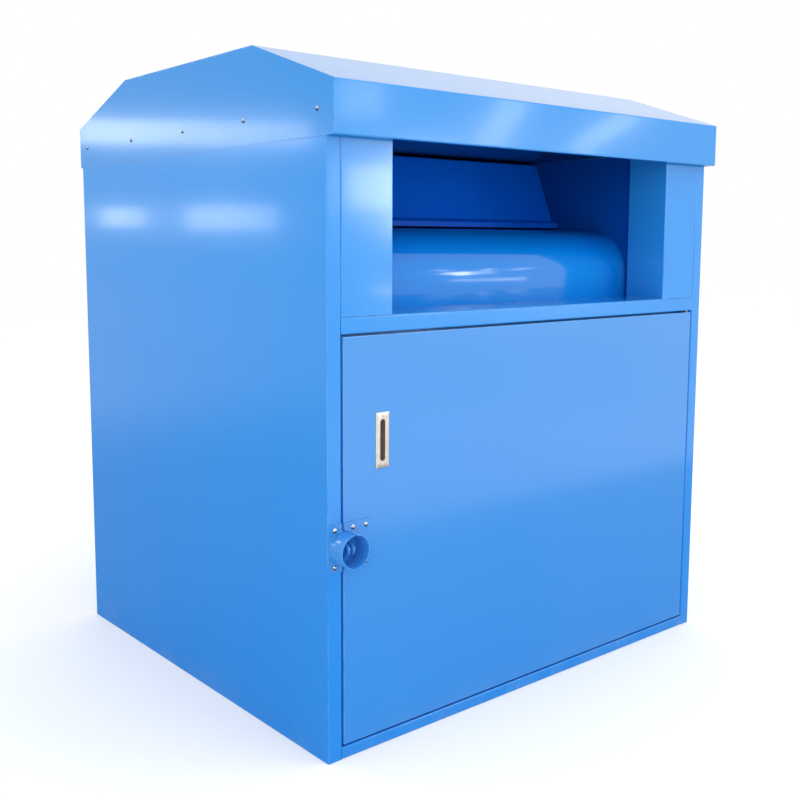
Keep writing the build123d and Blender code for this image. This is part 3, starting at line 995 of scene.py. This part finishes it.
@dataclass
class ChuteSill:
    """Bull-nosed sheet that fills the lower half of the deposit mouth."""

    node: str = "chute_sill"
    sheet: float = 0.002
    radius: float = 0.135
    steps: int = 36
    rounding: float = 0.0004
    near: float = 0.001

    def build(self) -> None:
        """Bend the sill from a flat strip."""
        low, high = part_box(self.node)
        knee = high.z - self.radius
        centre = ((low.x + high.x) / 2, low.y, (low.z + knee) / 2)
        sill = Workpiece(
            "chute_sill_bent",
            bpy.ops.mesh.primitive_plane_add,
            size=1.0,
            location=centre,
            rotation=(math.radians(90.0), 0.0, 0.0),
        )
        with sill.editing():
            bpy.ops.mesh.select_all(action="SELECT")
            sill.resize((high.x - low.x, 1.0, knee - low.z), centre)
            sill.pick(Pick.RIMS, lambda at, along: at.z > knee - self.near)
            bpy.ops.mesh.spin(
                steps=self.steps,
                angle=math.pi / 2,
                center=(0.0, low.y + self.radius, knee),
                axis=(1.0, 0.0, 0.0),
            )
            sill.pick(
                Pick.RIMS, lambda at, along: at.z > high.z - self.near and abs(along.x) > 0.9
            )
            sill.extrude_rim((0.0, high.y - low.y - self.radius, 0.0))
        sill.true_up()
        sill.aim((0.0, -1.0, 1.0))
        sill.wall(self.sheet)
        sill.ease(self.rounding, limit=60.0)
        sill.smooth(30.0)
        sill.install("cabinet", Coat.SILL, self.node)


@dataclass
class DomeRivets:
    """Rows of blind rivets, each copied from one that is modelled at the origin.

    The rings are the width and the rise of each step of the head, from its brim up to
    the dome and down into the hole in its middle.
    """

    head: float = 0.006
    height: float = 0.004
    brim: float = 0.0009
    rings: tuple[tuple[float, float], ...] = (
        (0.0005, 0.0006), (0.0010, 0.0009), (0.0012, 0.0008), (0.0013, 0.0005),
        (0.0007, 0.0001), (0.0002, -0.0010),
    )
    sides: int = 24
    spin: float = 0.7
    pattern: Workpiece | None = None

    def model(self) -> None:
        """Model one rivet head, standing on the ground and facing up."""
        rivet = Workpiece(
            "rivet_pattern",
            bpy.ops.mesh.primitive_cylinder_add,
            vertices=self.sides,
            radius=self.head,
            depth=self.brim,
            location=(0.0, 0.0, self.brim / 2),
        )
        with rivet.editing():
            rivet.pick(Pick.FACES, lambda at, normal: normal.z > 0.9)
            for width, rise in self.rings:
                rivet.inset(width, rise)
        rivet.smooth(50.0)
        self.pattern = rivet

    def set_row(
        self, node: str, body: str, facing: Point, spots: Sequence[Point]
    ) -> None:
        """Set a row of rivets in place of a frame node.

        Args:
            node: The node that the row stands for.
            body: The body that the row moves with.
            facing: The way that the heads face.
            spots: The middle of each head's seat.
        """
        turn = Vector(facing).to_track_quat("Z", "Y").to_matrix().to_4x4()
        row = []
        for number, spot in enumerate(spots):
            spin = Matrix.Rotation(self.spin * number, 4, "Z")
            place = Matrix.Translation(spot) @ turn @ spin
            row.append(self.pattern.copy(f"{node}_domes", place))
        row[0].join(row[1:])
        row[0].install(body, Coat.RIVET, node)

    def build(self) -> None:
        """Set every row of rivets."""
        self.model()
        for side, sign in (("left", -1.0), ("right", 1.0)):
            node = f"roof_rivets_{side}"
            low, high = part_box(node)
            seat = (low.x + self.height) if sign < 0 else (high.x - self.height)
            depths = spread(low.y + self.head, high.y - self.head, 5)
            level = (low.z + high.z) / 2
            self.set_row(node, "cabinet", (sign, 0.0, 0.0), [(seat, y, level) for y in depths])
        low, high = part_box("back_rivets")
        seat = high.y - self.height
        levels = spread(low.z + self.head, high.z - self.head, 6)
        columns = (low.x + self.head, high.x - self.head)
        spots = [(x, seat, z) for x in columns for z in levels]
        self.set_row("back_rivets", "cabinet", (0.0, 1.0, 0.0), spots)
        for side, body, count in (("jamb", "cabinet", 1), ("door", "door", 2)):
            node = f"guard_rivets_{side}"
            low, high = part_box(node)
            seat = low.y + self.height
            columns = spread(low.x + self.head, high.x - self.head, count)
            levels = spread(low.z + self.head, high.z - self.head, 2)
            spots = [(x, seat, z) for x in columns for z in levels]
            self.set_row(node, body, (0.0, -1.0, 0.0), spots)
        self.pattern.scrap()


@dataclass
class PadlockGuard:
    """Round steel guard for a round padlock, split at the gap beside the door.

    The plate on the jamb starts at plate_left, clear of the bend at the corner.
    """

    across: float = -0.70725
    plate_left: float = -0.7495
    level: float = 0.535
    outer: float = 0.0425
    wall: float = 0.003
    plate: float = 0.002
    bead: float = 0.0022
    hole: float = 0.006
    clear: float = 0.0005
    sides: int = 96
    corner: float = 0.002
    skirt: float = 0.0004
    swell: float = 0.00001
    rim_rounding: float = 0.0007
    rounding: float = 0.0005
    weld_reach: float = 0.0005

    def half(self, side: str, body: str, keep: float) -> None:
        """Weld up one half of the guard on its plate.

        Args:
            side: The half's name.
            body: The body that it moves with.
            keep: -1 for the part on the left of the split, 1 for the right.
        """
        node = f"guard_half_{side}"
        low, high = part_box(node)
        split = high.x if keep < 0 else low.x
        left = self.plate_left if keep < 0 else low.x
        depth = high.y - low.y - self.plate / 2
        shell = Workpiece(
            f"{node}_ring",
            bpy.ops.mesh.primitive_cylinder_add,
            vertices=self.sides,
            radius=self.outer,
            depth=depth,
            end_fill_type="NOTHING",
            location=(self.across, low.y + depth / 2, self.level),
            rotation=(math.radians(90.0), 0.0, 0.0),
        )
        with shell.editing():
            shell.cut((split, 0.0, 0.0), (-keep, 0.0, 0.0))
        shell.true_up()
        shell.wall(self.wall)
        shell.ease(self.rim_rounding, segments=3, limit=50.0)
        middle = ((left + high.x) / 2, high.y - self.plate / 2, (low.z + high.z) / 2)
        base = Workpiece(
            f"{node}_plate", bpy.ops.mesh.primitive_cube_add, size=1.0, location=middle
        )
        with base.editing():
            bpy.ops.mesh.select_all(action="SELECT")
            base.resize((high.x - left, self.plate, high.z - low.z), middle)
            base.pick(Pick.EDGES, lambda at, along: abs(along.y) > 0.9)
            base.bevel(self.corner, 4)
            base.pick(Pick.FACES, lambda at, normal: normal.y < -0.9)
            base.inset(self.skirt)
            base.slide((0.0, -self.swell, 0.0))
        base.ease(self.rounding, limit=50.0)
        seam = Workpiece(
            f"{node}_weld",
            bpy.ops.mesh.primitive_torus_add,
            major_radius=self.outer,
            minor_radius=self.bead,
            major_segments=self.sides,
            minor_segments=10,
            location=(self.across, high.y - self.plate, self.level),
            rotation=(math.radians(90.0), 0.0, 0.0),
        )
        with seam.editing():
            seam.cut((split + keep * self.weld_reach, 0.0, 0.0), (-keep, 0.0, 0.0))
            seam.cut((left + self.weld_reach, 0.0, 0.0), (-1.0, 0.0, 0.0))
            bpy.ops.mesh.select_all(action="SELECT")
            bpy.ops.mesh.region_to_loop()
            bpy.ops.mesh.edge_face_add()
        shell.join([base, seam])
        shell.smooth(40.0)
        shell.install(body, Coat.GUARD, node)

    def lug(self, side: str, body: str) -> None:
        """Cut one pierced lug that the padlock's bolt passes through.

        Args:
            side: The lug's name.
            body: The body that it moves with.
        """
        node = f"padlock_lug_{side}"
        low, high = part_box(node)
        radius = (high.z - low.z) / 2
        centre = ((low.x + high.x) / 2, low.y + radius, (low.z + high.z) / 2)
        lug = Workpiece(
            f"{node}_pierced",
            bpy.ops.mesh.primitive_cylinder_add,
            vertices=self.sides // 2,
            radius=radius,
            depth=high.x - low.x,
            location=centre,
            rotation=(0.0, math.radians(90.0), 0.0),
        )
        with lug.editing():
            lug.pick(Pick.FACES, lambda at, normal: abs(normal.x) > 0.9)
            bpy.ops.mesh.inset(thickness=radius - self.hole, use_individual=True)
            bpy.ops.mesh.bridge_edge_loops()
            foot = centre[1] + self.hole + self.clear
            lug.pick(Pick.CORNERS, lambda at, normal: at.y > foot)
            lug.resize((1.0, 0.0, 1.0), (centre[0], high.y, centre[2]))
        lug.true_up()
        lug.ease(self.rounding, limit=50.0)
        lug.smooth(40.0)
        lug.install(body, Coat.GUARD, node)

    def build(self) -> None:
        """Build both halves and their lugs."""
        for side, body, keep in (("jamb", "cabinet", -1.0), ("door", "door", 1.0)):
            self.half(side, body, keep)
            self.lug(side, body)


@dataclass
class FlushPull:
    """Stamped flush pull: one pressed plate with a long round-ended pocket."""

    node: str = "pull_handle"
    gauge: float = 0.0012
    skin: float = 0.00024
    slot_width: float = 0.016
    slot_length: float = 0.103
    face: float = 0.0025
    sunk: float = 0.0004
    border: float = 0.0026
    slope: float = 0.0010
    corner: float = 0.0015
    lip: float = 0.0012
    mouth: tuple[tuple[float, float], ...] = ((0.5, 0.0), (0.3, 0.2), (0.2, 0.6))
    draft: float = 0.0003
    foot: tuple[tuple[float, float], ...] = ((0.5, 0.8), (1.0, 0.3))
    sides: int = 40
    touch: float = 0.00001

    def pocket(self, middle: Point, depth: float) -> Workpiece:
        """Press the round-ended pocket and the lip round its mouth.

        Args:
            middle: The middle of the mouth, level with the top of the lip.
            depth: How deep the whole pull is.

        Returns:
            The pocket, open at the outer foot of its lip.
        """
        pocket = Workpiece(
            "pull_handle_pressed",
            bpy.ops.mesh.primitive_circle_add,
            vertices=self.sides,
            radius=self.slot_width / 2 + self.lip,
            fill_type="NGON",
            location=middle,
            rotation=(math.radians(90.0), 0.0, 0.0),
        )
        stretch = (self.slot_length - self.slot_width) / 2
        with pocket.editing():
            for sign in (-1.0, 1.0):
                pocket.pick(
                    Pick.CORNERS, lambda at, normal: sign * (at.z - middle[2]) > self.touch
                )
                pocket.slide((0.0, 0.0, sign * stretch))
            pocket.pick(Pick.FACES, lambda at, normal: True)
            for width, fall in self.mouth:
                pocket.inset(self.lip * width, -self.lip * fall)
            pocket.inset(self.draft, -(depth - self.gauge - 2.0 * self.lip))
            for width, fall in self.foot:
                pocket.inset(self.lip * width, -self.lip * fall)
            pocket.pick(Pick.RIMS, lambda at, along: True)
            pocket.extrude_rim((0.0, self.sunk, 0.0))
        return pocket

    def plate(self, middle: Point, width: float, tall: float) -> Workpiece:
        """Outline the flat face of the plate.

        Args:
            middle: The middle of the face.
            width: How wide the flat face is.
            tall: How tall the flat face is.

        Returns:
            The outline, without a face.
        """
        rim = Workpiece(
            "pull_handle_rim",
            bpy.ops.mesh.primitive_plane_add,
            size=1.0,
            location=middle,
            rotation=(math.radians(90.0), 0.0, 0.0),
        )
        with rim.editing():
            bpy.ops.mesh.select_all(action="SELECT")
            rim.resize((width, 1.0, tall), middle)
            bpy.ops.mesh.bevel(offset=self.corner, segments=4, affect="VERTICES")
            rim.pick(Pick.FACES, lambda at, normal: True)
            bpy.ops.mesh.delete(type="ONLY_FACE")
        return rim

    def build(self) -> None:
        """Press the pocket, spread the plate round it and turn its border down."""
        low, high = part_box(self.node)
        middle = ((low.x + high.x) / 2, low.y, (low.z + high.z) / 2)
        level = low.y + self.sunk
        face = (middle[0], level, middle[2])
        width = high.x - low.x - 2 * self.border
        tall = high.z - low.z - 2 * self.border
        pull = self.pocket(middle, high.y - low.y)
        pull.join([self.plate(face, width, tall)])
        with pull.editing():
            pull.pick(Pick.EDGES, lambda at, along: abs(at.y - level) < self.touch)
            bpy.ops.mesh.fill(use_beauty=True)
            pull.pick(
                Pick.RIMS,
                lambda at, along: abs(at.x - middle[0]) > width / 2 - self.corner
                or abs(at.z - middle[2]) > tall / 2 - self.corner,
            )
            pull.extrude_rim((0.0, self.slope, 0.0))
            pull.resize(
                ((high.x - low.x) / width, 1.0, (high.z - low.z) / tall),
                (middle[0], level + self.slope, middle[2]),
            )
            pull.extrude_rim((0.0, self.face - self.sunk - self.slope, 0.0))
        pull.true_up()
        pull.aim((0.0, -1.0, 0.0))
        pull.wall(self.skin)
        pull.smooth(30.0)
        pull.install("door", Coat.PULL, self.node)


@dataclass
class CrossScrews:
    """The two cross-head screws at the ends of the flush pull.

    The rings are the width, as a share of the head, and the rise of each step up to
    the top, where every corner off the two arms of the cross is drawn in.
    """

    node: str = "handle_screws"
    head: float = 0.0033
    gauge: float = 0.0006
    sunk: float = 0.0004
    rings: tuple[tuple[float, float], ...] = ((0.16, 0.00014), (0.22, 0.00010), (0.12, 0.00002))
    arm: float = 0.2
    waist: float = 0.42
    drive: tuple[float, float] = (0.00008, 0.0006)
    shank: tuple[float, float] = (0.5, 0.0018)
    draft: float = 0.00002
    spins: tuple[float, float] = (0.35, 0.9)
    sides: int = 16
    touch: float = 0.00001

    def model(self) -> Workpiece:
        """Turn one screw at the origin, facing up.

        Returns:
            The screw.
        """
        screw = Workpiece(
            "screw_pattern",
            bpy.ops.mesh.primitive_cylinder_add,
            vertices=self.sides,
            radius=self.head,
            depth=self.gauge,
            location=(0.0, 0.0, 0.0),
        )
        top = self.gauge / 2 + sum(rise for _, rise in self.rings)
        with screw.editing():
            screw.pick(Pick.FACES, lambda at, normal: normal.z > 0.9)
            for width, rise in self.rings:
                screw.inset(self.head * width, rise)
            screw.pick(
                Pick.CORNERS,
                lambda at, normal: at.z > top - self.touch
                and min(abs(at.x), abs(at.y)) > self.arm * max(abs(at.x), abs(at.y)),
            )
            screw.resize((self.waist, self.waist, 1.0), (0.0, 0.0, top))
            screw.pick(Pick.FACES, lambda at, normal: at.z > top - self.touch)
            screw.inset(self.drive[0], -self.drive[1])
            screw.pick(Pick.FACES, lambda at, normal: normal.z < -0.9)
            screw.inset(self.head * self.shank[0])
            screw.inset(self.draft, self.shank[1])
        screw.smooth(45.0)
        return screw

    def build(self) -> None:
        """Set a screw at each end of the plate."""
        low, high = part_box(self.node)
        screw = self.model()
        turn = Matrix.Rotation(math.radians(90.0), 4, "X")
        pair = []
        for level, spin in zip((low.z + self.head, high.z - self.head), self.spins):
            place = Matrix.Translation(((low.x + high.x) / 2, low.y + self.sunk, level))
            twist = Matrix.Rotation(spin, 4, "Z")
            pair.append(screw.copy("handle_screws_turned", place @ turn @ twist))
        pair[0].join(pair[1:])
        screw.scrap()
        pair[0].install("door", Coat.SCREW, self.node)


def spread(first: float, last: float, count: int) -> list[float]:
    """Space a number of places evenly.

    Args:
        first: The first place.
        last: The last place.
        count: How many there are; one alone goes in the middle.

    Returns:
        The places in order.
    """
    if count == 1:
        return [(first + last) / 2]
    return [first + (last - first) * number / (count - 1) for number in range(count)]


def coat_of(node: str) -> Coat:
    """Choose the finish of a frame node by the first of the words in its name.

    Args:
        node: The node's name.

    Returns:
        Its finish.
    """
    for word, coat in COAT_WORDS:
        if word in node:
            return coat
    return Coat.CABINET


def main() -> None:
    """Build the studio and the drop box, piece by piece."""
    logging.basicConfig(level=logging.INFO, format="%(name)s: %(message)s")
    clear_selection()
    Studio().build()
    kept = {node: coat_of(node) for node in sorted(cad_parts)}
    SheetWork(kept).dress()
    ChuteSill().build()
    DomeRivets().build()
    PadlockGuard().build()
    FlushPull().build()
    CrossScrews().build()


if __name__ == "__main__":
    main()
